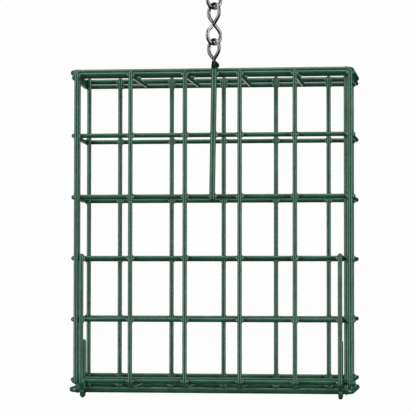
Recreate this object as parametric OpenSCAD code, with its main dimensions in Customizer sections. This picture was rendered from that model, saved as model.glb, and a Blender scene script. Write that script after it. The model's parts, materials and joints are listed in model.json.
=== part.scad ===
/* [Grid] */
// Distance between neighbouring uprights
cell_w = 24.5; // [22:0.5:27]
// Distance between neighbouring rails
cell_h = 27.4; // [25:0.2:30]
// Thickness of the grid's coated wire
wire_d = 2.05; // [1.9:0.05:2.2]
// Thickness of the two ring wires
ring_d = 2.4; // [2.2:0.05:2.5]
// Depth that crossing wires sink into each other where they are welded
weld = 0.1; // [0.05:0.01:0.12]

/* [Basket] */
// Distance from the door's uprights to the back uprights
basket_depth = 46; // [42:0.5:50]
// Distance between the two front posts
front_w = 120.6; // [120:0.1:121]
// Distance between the two back posts
back_w = 123.5; // [123:0.1:125]
// Sideways place of the front posts' middle
front_shift = -1.3; // [-1.5:0.1:-1]
// Sideways place of the back posts' middle
back_shift = -2; // [-2.5:0.1:-1.5]
// Height of the top ring above the door's top rail
top_ring_z = 1.5; // [1.4:0.1:1.6]
// Drop of the bottom ring below the door's bottom rail
bottom_drop = 4.05; // [4:0.05:4.6]
// Radius of the wires' bends at the basket's corners
corner_r = 3; // [2.8:0.1:3.4]

/* [Door] */
// Gap between the door's rails and the rings
door_gap = 0.375; // [0.3:0.025:0.5]
// Gap round the hinge rail inside each hairpin
hinge_gap = 0.25; // [0.2:0.05:0.3]
// Sideways place of the left hairpin
hairpin_left_x = -58.8; // [-59:0.1:-58]
// Sideways place of the right hairpin
hairpin_right_x = 56.6; // [56:0.1:56.6]
// Height of each hairpin's inner leg above the hinge rail
inner_leg_h = 21.5; // [15:0.5:24]
// Thickness of the latch wire
latch_d = 2.65; // [2.4:0.05:2.7]
// Gap between the latch and the top ring under it
latch_gap = 0.3; // [0.25:0.05:0.5]
// Sideways lean of the latch, in degrees
latch_lean = 0.9; // [0:0.1:1]

/* [Hanging] */
// Distance from the door's uprights back to the two middle wires
hanger_y = 21.4; // [18:0.2:24]
// Sideways place of the chain over the door
hanger_x = -1.8; // [-3:0.1:0]
// Thickness of the chain's wire
link_d = 1.6; // [1.4:0.1:1.6]
// Half the length of a link, to the middle of its wire
link_half = 9.12; // [8.8:0.02:9.6]
// Radius of a link's round ends, to the middle of the wire
link_r = 3.8; // [3.2:0.1:3.9]
// Gap left where one link hangs in another
link_gap = 0.25; // [0.2:0.05:0.3]
// Thickness of the top hook's wire
hook_d = 2.4; // [2.2:0.1:2.6]
// Radius of the hook's open end, to the middle of the wire
hook_r = 9; // [8:0.5:12]
// Radius of the hook's closed eye, to the middle of the wire
eye_r = 3.8; // [3.7:0.1:4.2]

/* [Hidden] */
$fn = 48;
GREEN = "darkslategray";
NICKEL = "silver";

rails = 6;
uprights = 6;
back_uprights = 5;
slats = 4;
links = 3;

// Cage frame: x = 0 at the door's middle, y = 0 at its uprights, z = 0 at its top rail.
wire_r = wire_d / 2;
ring_r = ring_d / 2;
wire_lap = wire_d - weld;
ring_lap = ring_r + wire_r - weld;

door_rail_y = wire_lap;
ring_front_y = door_rail_y + wire_r + door_gap + ring_r;
ring_back_y = basket_depth + ring_lap;
row_back_y = basket_depth + wire_lap;
bottom_ring_z = -(rails - 1) * cell_h - bottom_drop;
top_slat_z = top_ring_z - ring_lap;
bottom_slat_z = bottom_ring_z + ring_lap;
hanger_z = top_slat_z + wire_lap;
bottom_mid_z = bottom_slat_z + wire_lap;

// A post that nestles in a bend of radius corner_r stands this far in from both straights.
function nestle(lap) = corner_r - (corner_r - lap) / sqrt(2);
front_post_y = ring_front_y + nestle(ring_lap);
back_post_y = ring_back_y - nestle(ring_lap);
post_overhang = ring_r / 2;

// The top row wire runs just under the top ring. The others lie level with the door's rails,
// apart from two that were welded a little higher.
row_clearance = 0.08;
top_row_z = top_ring_z - ring_r - wire_r - row_clearance;
row_lift = 0.4;
function lifted(i) = i == 1 || i == rails - 1;
function row_z(i) = i == 0 ? top_row_z : -i * cell_h + (lifted(i) ? row_lift : 0);
row_tip_y = front_post_y - wire_r;

function upright_x(i) = (i - (uprights - 1) / 2) * cell_w;
function back_upright_x(i) = (i - (back_uprights - 1) / 2) * cell_w;
function slat_x(i) = (i - (slats - 1) / 2) * cell_w;
slat_front_y = ring_front_y;
top_slat_back_y = row_back_y - wire_lap;
bottom_slat_back_y = ring_back_y;
upright_overhang = 0.4;
rail_overhang = 1.2;

// Hairpin, in the plane across the hinge rail.
hinge_r = ring_r + hinge_gap + wire_r;
leg_front_y = door_rail_y - wire_lap;
leg_overhang = 1;
leg_top_z = -(rails - 3) * cell_h + leg_overhang;
jog_top_drop = 0.9;
jog_top_z = -(rails - 1) * cell_h - jog_top_drop;
jog_bottom_rise = 0.5;
jog_bottom_z = bottom_ring_z + jog_bottom_rise;
jog_r = 1.5;
hinge_flat = 0.2;

// Latch, in the plane across the top ring.
latch_r = latch_d / 2;
latch_y = door_rail_y - wire_r - latch_r + weld;
latch_top_z = top_ring_z + ring_r + latch_gap + latch_r;
latch_overhang = 1;
latch_bottom_z = -2 * cell_h - latch_overhang;
latch_bend_r = 2.6;
latch_tail = 3.4;
latch_tail_y = ring_front_y + latch_tail;

// Heights of the links' waists and of the hook, in the cage frame.
link_rise = 2 * link_half - link_d - link_gap;
first_waist_z = hanger_z - wire_r - link_gap - link_d / 2 + link_half;
function waist_z(i) = first_waist_z + i * link_rise;
eye_z = waist_z(links - 1) + link_half - link_d / 2 - link_gap - hook_d / 2 + eye_r;
hook_gap = 6;
hook_z = eye_z + eye_r + hook_r + hook_gap;
bearing_z = hook_z + hook_r - hook_d / 2;

// ---- Wire shapes ----

// The coating is this much thicker in a bend and at a rounded end, and each straight runs this
// far into its bends.
plump = 0.06;
bite = 0.25;

function heading(a, b) = atan2(b[1] - a[1], b[0] - a[0]);
function wrapped(t) = t > 180 ? t - 360 : t < -180 ? t + 360 : t;
function turn(a, b, c) = wrapped(heading(b, c) - heading(a, b));
function toward(a, b, s) = a + (b - a) / norm(b - a) * s;
function at(p, i) = p[(i + len(p)) % len(p)];
function trim_at(p, r, i) =
    at(r, i) == 0 ? 0 : at(r, i) * tan(abs(turn(at(p, i - 1), at(p, i), at(p, i + 1))) / 2);
function inset(p, r, i) = at(r, i) == 0 ? 0 : trim_at(p, r, i) - bite;

// A straight wire with rounded ends between two points in space.
module rod(a, b, d) {
    v = b - a;
    translate(a) {
        sphere(d = d);
        rotate([0, acos(v[2] / norm(v)), atan2(v[1], v[0])])
            cylinder(d = d, h = norm(v));
    }
    translate(b) sphere(d = d);
}

// One straight stretch of a bent wire, in the XY plane.
module stretch(p, r, i, d) {
    a = toward(at(p, i), at(p, i + 1), inset(p, r, i));
    b = toward(at(p, i + 1), at(p, i), inset(p, r, i + 1));
    translate([a[0], a[1], 0])
        rotate([0, 90, heading(a, b)])
            cylinder(d = d, h = norm(b - a));
}

// One bend of a bent wire, in the XY plane.
module bend(p, r, i, d) {
    a = at(p, i - 1);
    b = at(p, i);
    h = heading(a, b);
    t = turn(a, b, at(p, i + 1));
    start = toward(b, a, trim_at(p, r, i));
    centre = start + at(r, i) * sign(t) * [-sin(h), cos(h)];
    translate([centre[0], centre[1], 0])
        rotate(t > 0 ? h - 90 : h + 90 + t)
            rotate_extrude(angle = abs(t))
                translate([at(r, i), 0])
                    circle(d = d + plump);
}

// A bent wire with two rounded ends. r holds each point's bend radius, 0 at the ends.
module open_wire(p, r, d) {
    last = len(p) - 1;
    for (i = [0:last - 1]) stretch(p, r, i, d);
    for (i = [1:last - 1]) bend(p, r, i, d);
    for (i = [0, last]) translate([p[i][0], p[i][1], 0]) sphere(d = d + plump);
}

// A wire bent into a closed ring, with the same radius at each corner.
module closed_wire(p, radius, d) {
    r = [for (q = p) radius];
    for (i = [0:len(p) - 1]) {
        stretch(p, r, i, d);
        bend(p, r, i, d);
    }
}

// Moves a shape from the cage frame to the part's frame, whose origin is the hook's bearing point.
module in_cage() {
    translate([-hanger_x, -hanger_y, -bearing_z]) children();
}

// Turns a path drawn in XY so that its x runs back and its y runs up.
module side_on() {
    rotate([90, 0, 90]) children();
}

// ---- Basket ----

module ring(z) {
    front = front_w / 2 + nestle(ring_lap);
    back = back_w / 2 + nestle(ring_lap);
    outline = [
        [front_shift - front, ring_front_y],
        [front_shift + front, ring_front_y],
        [back_shift + back, ring_back_y],
        [back_shift - back, ring_back_y]
    ];
    color(GREEN) in_cage() translate([0, 0, z]) closed_wire(outline, corner_r, ring_d);
}

module post(x, y) {
    color(GREEN) in_cage()
        rod([x, y, bottom_ring_z - post_overhang], [x, y, top_ring_z + post_overhang], wire_d);
}

module front_post(side) {
    post(front_shift + side * front_w / 2, front_post_y);
}

module back_post(side) {
    post(back_shift + side * back_w / 2, back_post_y);
}

module back_upright(i) {
    post(back_upright_x(i), basket_depth);
}

module row_wire(i) {
    front = front_w / 2 + wire_lap;
    back = back_w / 2 + nestle(wire_lap);
    path = [
        [front_shift - front, row_tip_y],
        [back_shift - back, row_back_y],
        [back_shift + back, row_back_y],
        [front_shift + front, row_tip_y]
    ];
    color(GREEN) in_cage() translate([0, 0, row_z(i)])
        open_wire(path, [0, corner_r, corner_r, 0], wire_d);
}

module top_slat(i) {
    color(GREEN) in_cage()
        rod([slat_x(i), slat_front_y, top_slat_z], [slat_x(i), top_slat_back_y, top_slat_z], wire_d);
}

module bottom_slat(i) {
    a = [slat_x(i), slat_front_y, bottom_slat_z];
    b = [slat_x(i), bottom_slat_back_y, bottom_slat_z];
    color(GREEN) in_cage() rod(a, b, wire_d);
}

// Where a wire round the cage passes the middle wires, on its left (-1) or right (1) side.
function side_x(side, front_out, front_y, back_out, back_y) =
    let (
        front = front_shift + side * (front_w / 2 + front_out),
        back = back_shift + side * (back_w / 2 + back_out)
    )
    front + (back - front) * (hanger_y - front_y) / (back_y - front_y);

// A wire from side to side over the slats, its ends butted on the wire round the cage.
module mid_wire(left, right, z, lap) {
    color(GREEN) in_cage() rod([left + lap, hanger_y, z], [right - lap, hanger_y, z], wire_d);
}

module top_mid_wire() {
    out = nestle(ring_lap);
    left = side_x(-1, out, ring_front_y, out, ring_back_y);
    right = side_x(1, out, ring_front_y, out, ring_back_y);
    mid_wire(left, right, hanger_z, ring_lap);
}

module bottom_mid_wire() {
    out = nestle(wire_lap);
    left = side_x(-1, wire_lap, row_tip_y, out, row_back_y);
    right = side_x(1, wire_lap, row_tip_y, out, row_back_y);
    mid_wire(left, right, bottom_mid_z, wire_lap);
}

// ---- Door ----

module door_upright(i) {
    top = [upright_x(i), 0, upright_overhang];
    bottom = [upright_x(i), 0, -(rails - 1) * cell_h - upright_overhang];
    color(GREEN) in_cage() rod(bottom, top, wire_d);
}

module door_rail(i) {
    reach = upright_x(uprights - 1) + rail_overhang;
    color(GREEN) in_cage()
        rod([-reach, door_rail_y, -i * cell_h], [reach, door_rail_y, -i * cell_h], wire_d);
}

// A long hairpin: down the door's face, round under the hinge rail and up inside the basket.
module hinge_hairpin(x) {
    outer_y = ring_front_y - hinge_r;
    inner_y = ring_front_y + hinge_r;
    bends = [0, jog_r, jog_r, hinge_r - hinge_flat, hinge_r - hinge_flat, 0];
    path = [
        [leg_front_y, leg_top_z],
        [leg_front_y, jog_top_z],
        [outer_y, jog_bottom_z],
        [outer_y, bottom_ring_z - hinge_r],
        [inner_y, bottom_ring_z - hinge_r],
        [inner_y, bottom_ring_z + inner_leg_h]
    ];
    color(GREEN) in_cage() translate([x, 0, 0])
        side_on() open_wire(path, bends, wire_d);
}

// A springy upright that turns back over the top ring.
module latch_wire() {
    path = [
        [latch_y, 0],
        [latch_y, latch_top_z - latch_bottom_z],
        [latch_tail_y, latch_top_z - latch_bottom_z]
    ];
    color(GREEN) in_cage() translate([0, 0, latch_bottom_z])
        rotate([0, latch_lean, 0]) side_on() open_wire(path, [0, latch_bend_r, 0], latch_d);
}

// ---- Chain and hook ----

// One tear-shaped loop, standing up from the waist in the XZ plane. One strand runs into the
// waist and the other is cut off beside it.
module link_loop() {
    centre_z = link_half - link_r;
    lean = asin(link_r / centre_z);
    strand = centre_z * cos(lean);
    cut = link_d;
    translate([0, 0, centre_z])
        rotate([90, 0, 0])
            rotate(-lean)
                rotate_extrude(angle = 180 + 2 * lean)
                    translate([link_r, 0])
                        circle(d = link_d + plump);
    rotate([0, lean, 0]) cylinder(d = link_d, h = strand + bite);
    rotate([0, -lean, 0]) translate([0, 0, cut]) cylinder(d = link_d, h = strand - cut + bite);
}

// The upper and lower loops stand at right angles to each other. The lowest loop is twisted on,
// square to the wire that it hangs on.
module chain_link(i) {
    lower_turn = i == 0 ? 90 : 45;
    color(NICKEL) translate([0, 0, waist_z(i) - bearing_z]) {
        sphere(d = link_d + 2 * plump);
        rotate([0, 0, -45]) link_loop();
        rotate([0, 0, lower_turn]) rotate([180, 0, 0]) link_loop();
    }
}

// A closed eye below and an open hook above, joined by a straight shank that crosses over. It
// stands square to the top loop of the chain.
module top_hook() {
    lean = asin((eye_r + hook_r) / (hook_z - eye_z));
    shank = (hook_z - eye_z) * cos(lean);
    eye_turn = 320;
    tip = -30;
    color(NICKEL) translate([0, 0, -bearing_z]) rotate([0, 0, 45]) {
        translate([0, 0, eye_z]) rotate([90, 0, 0]) rotate(lean - eye_turn)
            rotate_extrude(angle = eye_turn) translate([eye_r, 0]) circle(d = hook_d + plump);
        translate([eye_r * cos(lean), 0, eye_z + eye_r * sin(lean)])
            rotate([0, -lean, 0])
                translate([0, 0, -bite])
                    cylinder(d = hook_d, h = shank + 2 * bite);
        translate([0, 0, hook_z]) rotate([90, 0, 0]) rotate(tip)
            rotate_extrude(angle = 180 + lean - tip)
                translate([hook_r, 0])
                    circle(d = hook_d + plump);
        translate([hook_r * cos(tip), 0, hook_z + hook_r * sin(tip)])
            sphere(d = hook_d + 2 * plump);
    }
}

top_hook();
for (i = [1:links]) chain_link(i - 1);
ring(top_ring_z);  // top_ring
ring(bottom_ring_z);  // bottom_ring
front_post(-1);  // front_post_left
front_post(1);  // front_post_right
back_post(-1);  // back_post_left
back_post(1);  // back_post_right
top_mid_wire();
bottom_mid_wire();
for (i = [1:back_uprights])
    back_upright(i - 1);
for (i = [1:rails]) row_wire(i - 1);
for (i = [1:slats]) top_slat(i - 1);
for (i = [1:slats]) bottom_slat(i - 1);
for (i = [1:uprights]) door_upright(i - 1);
for (i = [1:rails]) door_rail(i - 1);
hinge_hairpin(hairpin_left_x);  // hinge_hairpin_left
hinge_hairpin(hairpin_right_x);  // hinge_hairpin_right
latch_wire();
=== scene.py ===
import json
import math

import bpy
import numpy as np
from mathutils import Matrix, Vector


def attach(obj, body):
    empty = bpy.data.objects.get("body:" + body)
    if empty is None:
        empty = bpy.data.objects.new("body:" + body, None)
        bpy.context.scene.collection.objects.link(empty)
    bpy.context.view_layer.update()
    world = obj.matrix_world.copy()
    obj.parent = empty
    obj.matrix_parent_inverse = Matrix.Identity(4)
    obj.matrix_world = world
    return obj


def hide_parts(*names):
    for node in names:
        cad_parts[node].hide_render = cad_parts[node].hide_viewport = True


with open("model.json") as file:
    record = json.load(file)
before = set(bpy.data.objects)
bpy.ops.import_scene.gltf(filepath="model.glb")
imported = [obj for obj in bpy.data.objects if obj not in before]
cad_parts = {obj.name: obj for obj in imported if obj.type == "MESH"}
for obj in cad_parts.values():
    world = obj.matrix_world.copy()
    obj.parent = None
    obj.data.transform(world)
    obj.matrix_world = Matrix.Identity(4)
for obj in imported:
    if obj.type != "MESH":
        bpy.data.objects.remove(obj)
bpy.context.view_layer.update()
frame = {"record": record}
BODY_OF = {}
for body_name, members in frame["record"]["behaviour"]["bodies"].items():
    for member in members:
        BODY_OF[member] = body_name

# ---- Sizes, in millimetres in the cage frame: x = 0 at the door's middle, y = 0 at its uprights,
# z = 0 at its top rail ----
MM = 0.001
# The part's origin is the hook's bearing point, over the wire that the chain hangs on.
HANGER_X, HANGER_Y, BEARING_Z = -1.8, 21.4, 78.42
ORIGIN = np.array([HANGER_X, HANGER_Y, BEARING_Z])
RAILS, UPRIGHTS, BACK_UPRIGHTS, SLATS, LINKS = 6, 6, 5, 4, 3
CELL_W, CELL_H = 24.5, 27.4
WIRE_D, RING_D, LATCH_D, LINK_D, HOOK_D = 2.05, 2.4, 2.65, 1.6, 2.4
WELD = 0.1
DOOR_GAP, HINGE_GAP, LATCH_GAP, ROW_CLEARANCE = 0.375, 0.25, 0.3, 0.08
LAP = WIRE_D - WELD
RING_LAP = (WIRE_D + RING_D) / 2 - WELD
CORNER_R = 3.0
FRONT_W, FRONT_SHIFT = 120.6, -1.3
BACK_W, BACK_SHIFT = 123.5, -2.0
DEPTH = 46.0
RING_FRONT_Y = LAP + WIRE_D / 2 + DOOR_GAP + RING_D / 2
RING_BACK_Y = DEPTH + RING_LAP
ROW_BACK_Y = DEPTH + LAP
TOP_RING_Z = 1.5
DOOR_BOTTOM_Z = -(RAILS - 1) * CELL_H
BOTTOM_DROP = 4.05
BOTTOM_RING_Z = DOOR_BOTTOM_Z - BOTTOM_DROP
TOP_SLAT_Z = TOP_RING_Z - RING_LAP
BOTTOM_SLAT_Z = BOTTOM_RING_Z + RING_LAP
HANGER_Z = TOP_SLAT_Z + LAP
BOTTOM_MID_Z = BOTTOM_SLAT_Z + LAP
TOP_ROW_Z = TOP_RING_Z - RING_D / 2 - WIRE_D / 2 - ROW_CLEARANCE
LIFTED_ROWS, ROW_LIFT = (1, RAILS - 1), 0.4
# Chain: half a link's length, its end's radius, the lowest waist's height and the step between links
LINK_HALF, LINK_R, FIRST_WAIST_Z, LINK_RISE = 9.12, 3.8, 8.37, 16.39
EYE_Z, EYE_R, HOOK_Z, HOOK_R = 51.82, 3.8, 70.62, 9.0


def nestle(lap):
    """How far in from both straights a post stands that nestles in a corner's bend."""
    return CORNER_R - (CORNER_R - lap) / math.sqrt(2)


FRONT_POST_Y = RING_FRONT_Y + nestle(RING_LAP)
BACK_POST_Y = RING_BACK_Y - nestle(RING_LAP)


# ---- Routes ----
def v(*c):
    return np.array(c, float)


def bent(points, radii, step_deg=7.5):
    """A polyline through the points with each inner corner rounded to its radius."""
    out = []
    n = len(points)
    closed = len(radii) == n and all(r > 0 for r in radii)
    for i in range(n):
        p, r = points[i], radii[i]
        if r == 0:
            out.append(p)
            continue
        a, b = points[i - 1], points[(i + 1) % n]
        d0, d1 = (p - a) / np.linalg.norm(p - a), (b - p) / np.linalg.norm(b - p)
        ang = math.acos(np.clip(np.dot(d0, d1), -1, 1))
        trim = r * math.tan(ang / 2)
        start = p - d0 * trim
        side = d1 - d0 * np.dot(d0, d1)
        side /= np.linalg.norm(side)
        centre = start + side * r
        steps = max(2, math.ceil(math.degrees(ang) / step_deg))
        for k in range(steps + 1):
            t = ang * k / steps
            out.append(centre - side * r * math.cos(t) + d0 * r * math.sin(t))
    return out, closed


def resample(pts, closed, step):
    """The same line with its long straights cut into stretches of about step."""
    out = []
    m = len(pts)
    for i in range(m if closed else m - 1):
        a, b = pts[i], pts[(i + 1) % m]
        k = max(1, int(round(np.linalg.norm(b - a) / step)))
        out += [a + (b - a) * j / k for j in range(k)]
    if not closed:
        out.append(pts[-1])
    return np.array(out)


def ring_route(z):
    f, b = FRONT_W / 2 + nestle(RING_LAP), BACK_W / 2 + nestle(RING_LAP)
    return [v(FRONT_SHIFT - f, RING_FRONT_Y, z), v(FRONT_SHIFT + f, RING_FRONT_Y, z),
            v(BACK_SHIFT + b, RING_BACK_Y, z), v(BACK_SHIFT - b, RING_BACK_Y, z)], [CORNER_R] * 4


def row_route(z):
    f, b = FRONT_W / 2 + LAP, BACK_W / 2 + nestle(LAP)
    y = FRONT_POST_Y - WIRE_D / 2
    return [v(FRONT_SHIFT - f, y, z), v(BACK_SHIFT - b, ROW_BACK_Y, z),
            v(BACK_SHIFT + b, ROW_BACK_Y, z), v(FRONT_SHIFT + f, y, z)], [0, CORNER_R, CORNER_R, 0]


def post_route(x, y):
    overhang = RING_D / 4
    return [v(x, y, BOTTOM_RING_Z - overhang), v(x, y, TOP_RING_Z + overhang)], [0, 0]


def hairpin_route(x):
    """Down the door's face, back to the hinge rail, round under it and up inside."""
    hinge_r = RING_D / 2 + HINGE_GAP + WIRE_D / 2
    front, back, low = RING_FRONT_Y - hinge_r, RING_FRONT_Y + hinge_r, BOTTOM_RING_Z - hinge_r
    leg_overhang, jog_drop, jog_rise, jog_r, hinge_flat, inner_leg = 1, 0.9, 0.5, 1.5, 0.2, 21.5
    bend_r = hinge_r - hinge_flat
    points = [v(x, 0, -(RAILS - 3) * CELL_H + leg_overhang), v(x, 0, DOOR_BOTTOM_Z - jog_drop),
              v(x, front, BOTTOM_RING_Z + jog_rise), v(x, front, low), v(x, back, low),
              v(x, back, BOTTOM_RING_Z + inner_leg)]
    return points, [0, jog_r, jog_r, bend_r, bend_r, 0]


def latch_route():
    """Up the door's face with a small lean, then back over the top ring."""
    overhang, tail, bend_r = 1, 3.4, 2.6
    lean = math.radians(0.9)
    y = LAP - WIRE_D / 2 - LATCH_D / 2 + WELD
    bottom = -2 * CELL_H - overhang
    h = TOP_RING_Z + RING_D / 2 + LATCH_GAP + LATCH_D / 2 - bottom
    x, top = h * math.sin(lean), bottom + h * math.cos(lean)
    return [v(0, y, bottom), v(x, y, top), v(x, RING_FRONT_Y + tail, top)], [0, bend_r, 0]


def link_route(waist_z, lower_turn):
    """A figure of eight from one wire, cut ends tucked beside the waist, the loops in two planes."""
    centre_z = LINK_HALF - LINK_R
    lean = math.asin(LINK_R / centre_z)
    cut, steps = LINK_D, 32
    loop = [v(-math.sin(lean) * cut, 0, math.cos(lean) * cut)]
    for k in range(steps + 1):
        a = math.pi + lean - (math.pi + 2 * lean) * k / steps
        loop.append(v(LINK_R * math.cos(a), 0, centre_z + LINK_R * math.sin(a)))

    def spun(p, degrees, flip):
        q = v(p[0], -p[1], -p[2]) if flip else p
        c, s = math.cos(math.radians(degrees)), math.sin(math.radians(degrees))
        return v(c * q[0] - s * q[1], s * q[0] + c * q[1], q[2])

    upper = [spun(p, -45, False) for p in loop]
    lower = [spun(p, lower_turn, True) for p in loop]
    return [p + v(HANGER_X, HANGER_Y, waist_z) for p in upper + [v(0, 0, 0)] + lower[::-1]]


def hook_route():
    """A closed eye below and an open hook above, in one wire, turned 45 degrees from the front."""
    lean = math.asin((EYE_R + HOOK_R) / (HOOK_Z - EYE_Z))
    eye_turn, tip = math.radians(320), math.radians(-30)
    eye_steps, hook_steps = 40, 48
    places = []
    for k in range(eye_steps + 1):
        a = lean - eye_turn * (1 - k / eye_steps)
        places.append((EYE_R * math.cos(a), EYE_Z + EYE_R * math.sin(a)))
    for k in range(hook_steps + 1):
        a = math.pi + lean - (math.pi + lean - tip) * k / hook_steps
        places.append((HOOK_R * math.cos(a), HOOK_Z + HOOK_R * math.sin(a)))
    q = math.sqrt(0.5)
    return [v(across * q + HANGER_X, across * q + HANGER_Y, z) for across, z in places]


# Each node's line, whether it closes on itself, and its diameter
ROUTES = {}
STEP, LINK_STEP, HOOK_STEP = 1.4, 0.5, 0.7
ENDS = [0, 0]


def route(node, points, radii, diameter):
    line, closed = bent(points, radii)
    ROUTES[node] = (resample(line, closed, STEP), closed, diameter)


route("top_ring", *ring_route(TOP_RING_Z), RING_D)
route("bottom_ring", *ring_route(BOTTOM_RING_Z), RING_D)
for sign, side in ((-1, "left"), (1, "right")):
    route("front_post_" + side, *post_route(FRONT_SHIFT + sign * FRONT_W / 2, FRONT_POST_Y), WIRE_D)
    route("back_post_" + side, *post_route(BACK_SHIFT + sign * BACK_W / 2, BACK_POST_Y), WIRE_D)
for i in range(BACK_UPRIGHTS):
    route("back_upright_%d" % (i + 1), *post_route((i - (BACK_UPRIGHTS - 1) / 2) * CELL_W, DEPTH), WIRE_D)
upright_overhang, rail_reach = 0.4, (UPRIGHTS - 1) / 2 * CELL_W + 1.2
for i in range(RAILS):
    row_z = TOP_ROW_Z if i == 0 else -i * CELL_H + (ROW_LIFT if i in LIFTED_ROWS else 0)
    route("row_wire_%d" % (i + 1), *row_route(row_z), WIRE_D)
    x, z = (i - (UPRIGHTS - 1) / 2) * CELL_W, -i * CELL_H
    route("door_upright_%d" % (i + 1),
          [v(x, 0, DOOR_BOTTOM_Z - upright_overhang), v(x, 0, upright_overhang)], ENDS, WIRE_D)
    route("door_rail_%d" % (i + 1), [v(-rail_reach, LAP, z), v(rail_reach, LAP, z)], ENDS, WIRE_D)
for i in range(SLATS):
    x = (i - (SLATS - 1) / 2) * CELL_W
    for end, z, back_y in (("top", TOP_SLAT_Z, DEPTH), ("bottom", BOTTOM_SLAT_Z, RING_BACK_Y)):
        route("%s_slat_%d" % (end, i + 1), [v(x, RING_FRONT_Y, z), v(x, back_y, z)], ENDS, WIRE_D)


def side_x(side, front_out, front_y, back_out, back_y):
    """Where a side wire from front to back, that far out past the posts, passes the middle wires."""
    front = FRONT_SHIFT + side * (FRONT_W / 2 + front_out)
    back = BACK_SHIFT + side * (BACK_W / 2 + back_out)
    return front + (back - front) * (HANGER_Y - front_y) / (back_y - front_y)


ring_side = (nestle(RING_LAP), RING_FRONT_Y, nestle(RING_LAP), RING_BACK_Y)
row_side = (LAP, FRONT_POST_Y - WIRE_D / 2, nestle(LAP), ROW_BACK_Y)
for name, z, lap, side_wire in (("top_mid_wire", HANGER_Z, RING_LAP, ring_side),
                                ("bottom_mid_wire", BOTTOM_MID_Z, LAP, row_side)):
    left, right = side_x(-1, *side_wire) + lap, side_x(1, *side_wire) - lap
    route(name, [v(left, HANGER_Y, z), v(right, HANGER_Y, z)], ENDS, WIRE_D)
route("hinge_hairpin_left", *hairpin_route(-58.8), WIRE_D)
route("hinge_hairpin_right", *hairpin_route(56.6), WIRE_D)
route("latch_wire", *latch_route(), LATCH_D)
for i in range(LINKS):
    # the lowest link's lower loop is twisted on, square to the wire that it hangs on
    line = link_route(FIRST_WAIST_Z + LINK_RISE * i, 45 if i else 90)
    ROUTES["chain_link_%d" % (i + 1)] = (resample(line, False, LINK_STEP), False, LINK_D)
ROUTES["top_hook"] = (resample(hook_route(), False, HOOK_STEP), False, HOOK_D)


# ---- Meshes ----
LUMP_LENGTHS = (5.3, 8.9, 17.0)
CAP_RINGS = (20, 40, 60, 80)
UV_PER_MM = 0.1


def wave(s, lengths, seed):
    """Smooth noise along a wire, from -1 to 1."""
    g = np.random.default_rng(seed)
    total = np.zeros_like(s)
    for length in lengths:
        total += np.sin(2 * math.pi * (s / length + g.random())) / len(lengths)
    return total


def sweep(line, closed, diameter, sides, seed, lumps):
    """A round wire swept along a line: vertices, faces and each vertex's (round, along) place."""
    pts = line.copy()
    m = len(pts)
    gaps = np.linalg.norm(np.diff(np.vstack([pts, pts[:1]]), axis=0), axis=1)
    s = np.concatenate([[0], np.cumsum(gaps)])[:m]
    total = s[-1] + (gaps[-1] if closed else 0)
    if closed:
        tangent = np.roll(pts, -1, 0) - np.roll(pts, 1, 0)
    else:
        tangent = np.gradient(pts, axis=0)
    tangent /= np.linalg.norm(tangent, axis=1)[:, None]
    normal = np.zeros_like(pts)
    seed_axis = v(0, 0, 1) if abs(tangent[0][2]) < 0.9 else v(1, 0, 0)
    n = seed_axis - tangent[0] * np.dot(seed_axis, tangent[0])
    for i in range(m):
        n = n - tangent[i] * np.dot(n, tangent[i])
        n /= np.linalg.norm(n)
        normal[i] = n
    binormal = np.cross(tangent, normal)
    lengths = [total / max(1, round(total / w)) for w in LUMP_LENGTHS]
    radius = diameter / 2 * (1 - lumps * (0.5 - 0.5 * wave(s, lengths, seed)))
    rings, places = [], []
    around = 2 * math.pi * np.arange(sides) / sides
    ca, sa = np.cos(around)[:, None], np.sin(around)[:, None]

    def add(centre, i, r, along):
        rings.append(centre + r * (normal[i] * ca + binormal[i] * sa))
        places.append([(k / sides, along) for k in range(sides)])

    def cap(end, way, degrees):
        """One ring of a rounded end."""
        w, r = math.radians(degrees), radius[end]
        out = way * r * math.sin(w)
        add(pts[end] + tangent[end] * out, end, r * math.cos(w), s[end] + out)

    if not closed:
        for degrees in CAP_RINGS[::-1]:
            cap(0, -1, degrees)
    for i in range(m):
        add(pts[i], i, radius[i], s[i])
    if not closed:
        for degrees in CAP_RINGS:
            cap(-1, 1, degrees)
    verts = np.vstack(rings)
    places = np.array(places).reshape(-1, 2)
    count = len(rings)
    faces = []
    for j in range(count if closed else count - 1):
        k = (j + 1) % count
        for a in range(sides):
            b = (a + 1) % sides
            faces.append((j * sides + a, j * sides + b, k * sides + b, k * sides + a))
    if not closed:
        faces.append(tuple(range(sides))[::-1])
        faces.append(tuple((count - 1) * sides + a for a in range(sides)))
    return verts, faces, places


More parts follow.
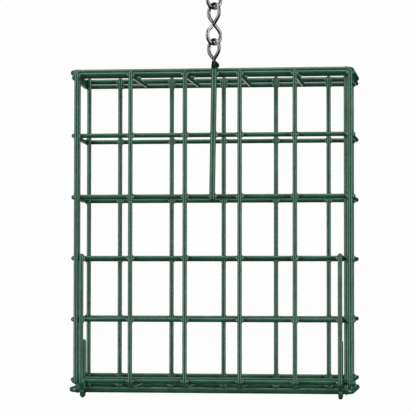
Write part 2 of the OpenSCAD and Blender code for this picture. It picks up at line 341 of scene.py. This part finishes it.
def web(centre_a, centre_b, along_a, along_b, r_a, r_b, room_a, room_b):
    """The coating that fills the corners where wire b crosses on wire a: a small waisted spool.
    room_a and room_b say how far it may run along each wire, back and forth."""
    reach, width, sunk = 2.1, 0.95, 0.1
    pinch_in_line, pinch_eased = 0.30, 0.24
    away = centre_b - centre_a
    away = away / np.linalg.norm(away)
    side_a = np.cross(away, along_a)
    side_b = np.cross(away, along_b)
    across = math.copysign(1, np.dot(side_a, along_b))
    over = math.copysign(1, np.dot(side_b, along_a))
    turns, steps = 32, 8
    rings = []

    def grown(u):
        return math.copysign(abs(u) ** 0.5, u)

    for k in range(steps):
        t = k / (steps - 1)
        row = []
        for j in range(turns):
            f = 2 * math.pi * j / turns
            c, s = math.cos(f), math.sin(f)
            ua = grown(c) * min(reach * r_a, room_a[1] if c > 0 else room_a[0])
            wa = grown(s) * width * r_a
            up_a = math.sqrt(r_a ** 2 - wa ** 2) - sunk
            pa = centre_a + along_a * ua + side_a * wa + away * up_a
            sb = s * across
            ub = grown(sb) * min(reach * r_b, room_b[1] if sb > 0 else room_b[0])
            wb = grown(c) * width * r_b * over
            up_b = math.sqrt(r_b ** 2 - wb ** 2) - sunk
            pb = centre_b + along_b * ub + side_b * wb - away * up_b
            p = pa * (1 - t) + pb * t
            flat = p - centre_a
            flat = flat - away * np.dot(flat, away)
            pinch = (pinch_in_line - pinch_eased * abs(math.sin(2 * f))) * math.sin(math.pi * t)
            row.append(p - flat * pinch)
        rings.append(row)
    verts = np.array(rings).reshape(-1, 3)
    faces = []
    for k in range(steps - 1):
        for j in range(turns):
            i = (j + 1) % turns
            faces.append((k * turns + j, k * turns + i, (k + 1) * turns + i, (k + 1) * turns + j))
    faces.append(tuple(range(turns))[::-1])
    faces.append(tuple((steps - 1) * turns + j for j in range(turns)))
    return verts, faces


def mesh_object(name, verts, faces, material, places=None):
    me = bpy.data.meshes.new(name)
    me.from_pydata([tuple(p) for p in (np.asarray(verts) - ORIGIN) * MM], [], faces)
    me.validate()
    me.update()
    if places is not None:
        layer = me.uv_layers.new(name="along")
        index = np.empty(len(me.loops), int)
        me.loops.foreach_get("vertex_index", index)
        layer.data.foreach_set("uv", (places[index] * [1, UV_PER_MM]).ravel())
    me.polygons.foreach_set("use_smooth", [True] * len(me.polygons))
    ob = bpy.data.objects.new(name, me)
    bpy.context.scene.collection.objects.link(ob)
    me.materials.append(material)
    return ob


# ---- Materials ----
class Graph:
    """A Principled material with short names for the nodes that it is built from."""

    def __init__(self, name):
        self.material = bpy.data.materials.new(name)
        self.material.use_nodes = True
        self.tree = self.material.node_tree
        self.shader = self.tree.nodes["Principled BSDF"]
        self.coords = self.node("ShaderNodeTexCoord").outputs["Object"]

    def node(self, kind, **values):
        n = self.tree.nodes.new(kind)
        for key, value in values.items():
            setattr(n, key, value)
        return n

    def link(self, a, b):
        self.tree.links.new(a, b)

    def noise(self, scale, detail=3.0, rough=0.5, coords=None):
        n = self.node("ShaderNodeTexNoise")
        n.inputs["Scale"].default_value = scale
        n.inputs["Detail"].default_value = detail
        n.inputs["Roughness"].default_value = rough
        self.link(coords or self.coords, n.inputs["Vector"])
        return n.outputs["Fac"]

    def ramp(self, fac, stops):
        n = self.node("ShaderNodeValToRGB")
        els = n.color_ramp.elements
        els[0].position, els[0].color = stops[0]
        els[1].position, els[1].color = stops[-1]
        for pos, colour in stops[1:-1]:
            els.new(pos).color = colour
        self.link(fac, n.inputs["Fac"])
        return n.outputs["Color"]

    def span(self, fac, low, high, start=0.3, end=0.7):
        n = self.node("ShaderNodeMapRange")
        for key, value in (("From Min", start), ("From Max", end), ("To Min", low), ("To Max", high)):
            n.inputs[key].default_value = value
        self.link(fac, n.inputs["Value"])
        return n.outputs["Result"]

    def bump(self, height, strength, distance, previous=None):
        n = self.node("ShaderNodeBump")
        n.inputs["Strength"].default_value = strength
        n.inputs["Distance"].default_value = distance
        self.link(height, n.inputs["Height"])
        if previous:
            self.link(previous, n.inputs["Normal"])
        return n.outputs["Normal"]

    def mixed(self, fac, a, b, blend="MIX"):
        n = self.node("ShaderNodeMix", data_type="RGBA", blend_type=blend)
        for socket, value in ((n.inputs[0], fac), (n.inputs[6], a), (n.inputs[7], b)):
            if isinstance(value, (int, float, tuple)):
                socket.default_value = value
            else:
                self.link(value, socket)
        return n.outputs[2]


def coating_material(name, shade_above=None):
    """Glossy dark green plastic coating on wire, a little uneven in thickness and colour. Above a given
    height, in metres, the colour is painted nearly black and the gloss dulled: painted shade on the latch's
    bend."""
    g = Graph(name)
    slow = g.noise(95, 3, 0.55)
    base = g.ramp(slow, [(0.30, (0.009, 0.052, 0.028, 1)), (0.5, (0.013, 0.068, 0.038, 1)),
                         (0.72, (0.019, 0.088, 0.051, 1))])
    fine = g.ramp(g.noise(900, 4, 0.6), [(0.35, (0.82, 0.84, 0.83, 1)), (0.7, (1.14, 1.12, 1.13, 1))])
    colour = g.mixed(1.0, base, fine, "MULTIPLY")
    specks = g.span(g.noise(2600, 1, 0.5), 0.0, 0.45, 0.70, 0.78)
    colour = g.mixed(specks, colour, (0.07, 0.125, 0.095, 1))
    scuff = g.span(g.noise(420, 5, 0.7), 0.0, 0.22, 0.60, 0.72)
    colour = g.mixed(scuff, colour, (0.042, 0.088, 0.064, 1))
    gloss, gloss_in_shade, shade = 0.40, 0.06, 0.93
    # Painted shade: above the given height the wire is coloured nearly black and loses most of its gloss
    if shade_above is not None:
        parts = g.node("ShaderNodeSeparateXYZ")
        g.link(g.coords, parts.inputs["Vector"])
        fade = (shade_above - 0.0003, shade_above + 0.0005)
        painted_shade = g.span(parts.outputs["Z"], 0.0, shade, *fade)
        colour = g.mixed(painted_shade, colour, (0.001, 0.004, 0.002, 1))
        gloss_dulled_in_shade = g.span(parts.outputs["Z"], gloss, gloss_in_shade, *fade)
        g.link(gloss_dulled_in_shade, g.shader.inputs["Specular IOR Level"])
    g.link(colour, g.shader.inputs["Base Color"])
    g.link(g.span(g.noise(240, 4, 0.6), 0.26, 0.44), g.shader.inputs["Roughness"])
    n = g.bump(g.noise(330, 2, 0.4), 0.30, 0.0004)
    n = g.bump(g.noise(1500, 3, 0.55), 0.22, 0.00012, n)
    n = g.bump(g.noise(5200, 2, 0.5), 0.10, 0.00004, n)
    g.link(n, g.shader.inputs["Normal"])
    g.shader.inputs["Specular IOR Level"].default_value = gloss
    g.shader.inputs["Coat Weight"].default_value = 0.12 if shade_above is None else 0.0
    g.shader.inputs["Coat Roughness"].default_value = 0.12
    return g.material


def nickel_material():
    """Bright nickel plate with drawing lines along the wire, small pits and duller patches."""
    g = Graph("nickel_looks")
    uv = g.node("ShaderNodeUVMap", uv_map="along").outputs["UV"]
    stretch = g.node("ShaderNodeMapping")
    stretch.inputs["Scale"].default_value = (34, 1.6, 1)
    g.link(uv, stretch.inputs["Vector"])
    lines = g.noise(3.0, 4, 0.6, stretch.outputs["Vector"])
    plate = g.noise(260, 4, 0.6)
    colour = g.ramp(plate, [(0.30, (0.13, 0.13, 0.12, 1)), (0.55, (0.23, 0.225, 0.215, 1)),
                            (0.8, (0.34, 0.335, 0.32, 1))])
    pits = g.span(g.noise(1900, 3, 0.6), 0.0, 0.5, 0.62, 0.74)
    colour = g.mixed(pits, colour, (0.07, 0.065, 0.06, 1))
    g.link(colour, g.shader.inputs["Base Color"])
    g.link(g.span(g.noise(520, 4, 0.65), 0.24, 0.40), g.shader.inputs["Roughness"])
    n = g.bump(lines, 0.14, 0.00006)
    n = g.bump(g.noise(900, 3, 0.5), 0.16, 0.0001, n)
    g.link(n, g.shader.inputs["Normal"])
    g.shader.inputs["Metallic"].default_value = 1.0
    return g.material


GREEN = coating_material("green_coating_looks")
# Where the painted shade on the latch begins, 1 mm under the top of the top ring
LATCH_SHADE_Z = TOP_RING_Z + RING_D / 2 - 1.0
LATCH_GREEN_SHADED = coating_material("latch_coating_painted_shade_looks", (LATCH_SHADE_Z - BEARING_Z) * MM)
NICKEL = nickel_material()

# ---- Wires ----
METAL = ["top_hook"] + ["chain_link_%d" % (i + 1) for i in range(LINKS)]
FIRST_SEED = 7
for number, (node, (line, closed, diameter)) in enumerate(ROUTES.items()):
    if node in METAL:
        finish, slot, material, wire_sides, lumps = "plated", "nickel", NICKEL, 20, 0.01
    else:
        finish, slot, material, wire_sides, lumps = "coated", "green_coating", GREEN, 16, 0.03
    if node == "latch_wire":
        # the latch gets the coating with painted shade on its bend
        material = LATCH_GREEN_SHADED
    verts, faces, places = sweep(line, closed, diameter, wire_sides, FIRST_SEED + number, lumps)
    ob = mesh_object("%s_%s" % (node, finish), verts, faces, material, places)
    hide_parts(node)
    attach(ob, BODY_OF[node])


# ---- Coating webs at the welds ----
# In mm: how close two wires come to be looked at, how far apart two welds of one pair are, the room
# on a closed wire, how far a crossing may lie from its nearest points, and the gap between centres
# that counts as touching.
NEAR, APART, PLENTY, MAX_SHIFT = 0.9, 6, 9, 1.2
MIN_GAP, MAX_OVER = 1.2, 0.05


def room(node, i):
    """How much wire there is before and after point i, up to its rounded ends."""
    line, closed, diameter = ROUTES[node]
    if closed:
        return PLENTY, PLENTY
    lengths = np.linalg.norm(np.diff(line, axis=0), axis=1)
    cap = 0.3 * diameter
    return lengths[:i].sum() + cap, lengths[i:].sum() + cap


def crossings(nodes):
    """Pairs of wires of one body that touch side to side: both centres, both directions, both radii
    and the room on both wires."""
    found = []
    for i, a in enumerate(nodes):
        for b in nodes[i + 1:]:
            pa, pb = ROUTES[a][0], ROUTES[b][0]
            margin = 4
            if np.any(pa.min(0) - margin > pb.max(0)) or np.any(pb.min(0) - margin > pa.max(0)):
                continue
            dist = np.linalg.norm(pa[:, None] - pb[None], axis=2)
            touch = (ROUTES[a][2] + ROUTES[b][2]) / 2
            near = np.argwhere(dist < touch + NEAR)
            used = []
            for u, w in sorted(near.tolist(), key=lambda q: dist[q[0], q[1]]):
                if any(np.linalg.norm(pa[u] - q) < APART for q in used):
                    continue
                used.append(pa[u])
                ta = pa[min(u + 1, len(pa) - 1)] - pa[max(u - 1, 0)]
                tb = pb[min(w + 1, len(pb) - 1)] - pb[max(w - 1, 0)]
                ta, tb = ta / np.linalg.norm(ta), tb / np.linalg.norm(tb)
                if abs(np.dot(ta, tb)) > 0.5:
                    continue
                # closest points of the two straight lines through u and w
                d = pa[u] - pb[w]
                k = np.dot(ta, tb)
                den = 1 - k * k
                sa = (k * np.dot(tb, d) - np.dot(ta, d)) / den
                sb = (np.dot(tb, d) - k * np.dot(ta, d)) / den
                ca = pa[u] + ta * np.clip(sa, -MAX_SHIFT, MAX_SHIFT)
                cb = pb[w] + tb * np.clip(sb, -MAX_SHIFT, MAX_SHIFT)
                if MIN_GAP < np.linalg.norm(ca - cb) < touch + MAX_OVER:
                    found.append((ca, cb, ta, tb, ROUTES[a][2] / 2, ROUTES[b][2] / 2, room(a, u), room(b, w)))
    return found


THINNEST = 0.97
for body in ("basket", "door"):
    all_verts, all_faces, start = [], [], 0
    for ca, cb, ta, tb, ra, rb, room_a, room_b in crossings([n for n in ROUTES if BODY_OF[n] == body]):
        verts, faces = web(ca, cb, ta, tb, ra * THINNEST, rb * THINNEST, room_a, room_b)
        all_verts.append(verts)
        all_faces += [tuple(start + i for i in f) for f in faces]
        start += len(verts)
    ob = mesh_object(body + "_weld_coating", np.vstack(all_verts), all_faces, GREEN)
    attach(ob, body)


# ---- Floor, backdrop, lights ----
def glowing(name, strength):
    """An even pale surface that takes no light of its own."""
    m = bpy.data.materials.new(name)
    m.use_nodes = True
    p = m.node_tree.nodes["Principled BSDF"]
    p.inputs["Base Color"].default_value = (0, 0, 0, 1)
    p.inputs["Roughness"].default_value = 0.9
    p.inputs["Specular IOR Level"].default_value = 0.0
    p.inputs["Emission Color"].default_value = (1, 1, 1, 1)
    p.inputs["Emission Strength"].default_value = strength
    return m


def stage_mesh(name, verts, faces, material):
    me = bpy.data.meshes.new(name)
    me.from_pydata(verts, [], faces)
    me.update()
    ob = bpy.data.objects.new(name, me)
    bpy.context.scene.collection.objects.link(ob)
    me.materials.append(material)
    return ob


FLOOR_Z = -0.62
COVE_SIDES = 64
# radius and height of each ring of the cove, outward from the floor's middle
profile = [(2.2, FLOOR_Z), (2.9, FLOOR_Z + 0.12), (3.4, FLOOR_Z + 0.5), (3.6, FLOOR_Z + 1.1), (3.6, 4.0)]
verts = [(0, 0, FLOOR_Z)]
for r, z in profile:
    for k in range(COVE_SIDES):
        angle = 2 * math.pi * k / COVE_SIDES
        verts.append((r * math.cos(angle), r * math.sin(angle), z))
faces = [(0, 1 + k, 1 + (k + 1) % COVE_SIDES) for k in range(COVE_SIDES)]
for j in range(len(profile) - 1):
    for k in range(COVE_SIDES):
        a, b = 1 + j * COVE_SIDES + k, 1 + j * COVE_SIDES + (k + 1) % COVE_SIDES
        faces.append((a, a + COVE_SIDES, b + COVE_SIDES, b))
cove = stage_mesh("floor_and_cove", verts, faces, glowing("pale_floor", 0.985))
cove.visible_diffuse = False
cove.visible_glossy = False
cove.visible_shadow = False

world = bpy.data.worlds.new("studio")
bpy.context.scene.world = world
world.use_nodes = True
world.node_tree.nodes["Background"].inputs["Color"].default_value = (1, 1, 1, 1)
world.node_tree.nodes["Background"].inputs["Strength"].default_value = 0.25
world.cycles_visibility.glossy = False


def softbox(name, place, target, width, height, power):
    light = bpy.data.lights.new(name, "AREA")
    light.shape = "RECTANGLE"
    light.size, light.size_y = width, height
    light.energy = power
    ob = bpy.data.objects.new(name, light)
    bpy.context.scene.collection.objects.link(ob)
    ob.location = place
    ob.rotation_euler = (Vector(target) - Vector(place)).to_track_quat("-Z", "Y").to_euler()
    return ob


AIM = (0, 0, -0.15)
softbox("left_softbox", (-1.15, -0.8, 0.1), AIM, 0.5, 1.3, 22)
softbox("right_softbox", (1.25, -0.55, 0.1), AIM, 0.4, 1.3, 19)
softbox("top_softbox", (0.0, -0.25, 1.25), AIM, 1.3, 0.9, 20)
for side in (-1, 1):
    back = softbox("back_softbox_%d" % side, (side * 0.9, 1.1, 0.1), AIM, 0.5, 1.2, 3.5)
    back.visible_glossy = False
strip = softbox("back_strip", (-0.3, 2.5, -0.15), AIM, 0.7, 1.3, 3.2)
strip.visible_camera = False
strip.visible_diffuse = False

# ---- Camera ----
cam_data = bpy.data.cameras.new("camera")
cam = bpy.data.objects.new("camera", cam_data)
bpy.context.scene.collection.objects.link(cam)
cam.location = (0.1034, -0.8797, -0.1709)
PITCH, ROLL, YAW = 2.15, -0.06, 6.87
cam.rotation_euler = (math.radians(90 + PITCH), math.radians(ROLL), math.radians(YAW))
cam_data.sensor_width = 36
cam_data.lens = 168.8
cam_data.clip_start = 0.01
cam_data.clip_end = 30
bpy.context.scene.camera = cam
bpy.context.scene.view_settings.view_transform = "Standard"
